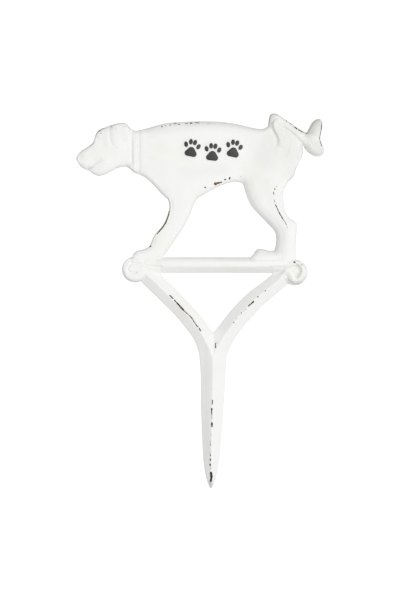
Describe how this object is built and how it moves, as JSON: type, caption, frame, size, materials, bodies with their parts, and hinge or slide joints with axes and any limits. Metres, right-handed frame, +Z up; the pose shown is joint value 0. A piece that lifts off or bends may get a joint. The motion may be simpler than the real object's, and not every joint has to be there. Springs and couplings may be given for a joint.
{
  "type": "no dog fouling sign",
  "caption": "Cast-iron garden stake sign: a dog in profile stands on a ridged bar with scrolled ends, above splayed arms that meet in a pointed ground spike.",
  "frame": {"origin": "on the ground line, in the plane of the flat back, on the centre line of the ground spike", "axes": "+Z up, along the spike; the modelled face looks along -Y, and the flat back lies in the plane Y = 0 and faces +Y; the dog's head points along -X"},
  "size_m": [0.2477, 0.0098, 0.3751],
  "materials": {
    "white_paint": "satin off-white paint on cast iron, rubbed through to rusty black iron along the ridges",
    "print_paint": "matt charcoal paint on the raised prints"
  },
  "bodies": {
    "root": {"sign_casting": "white_paint"}
  },
  "joints": []
}
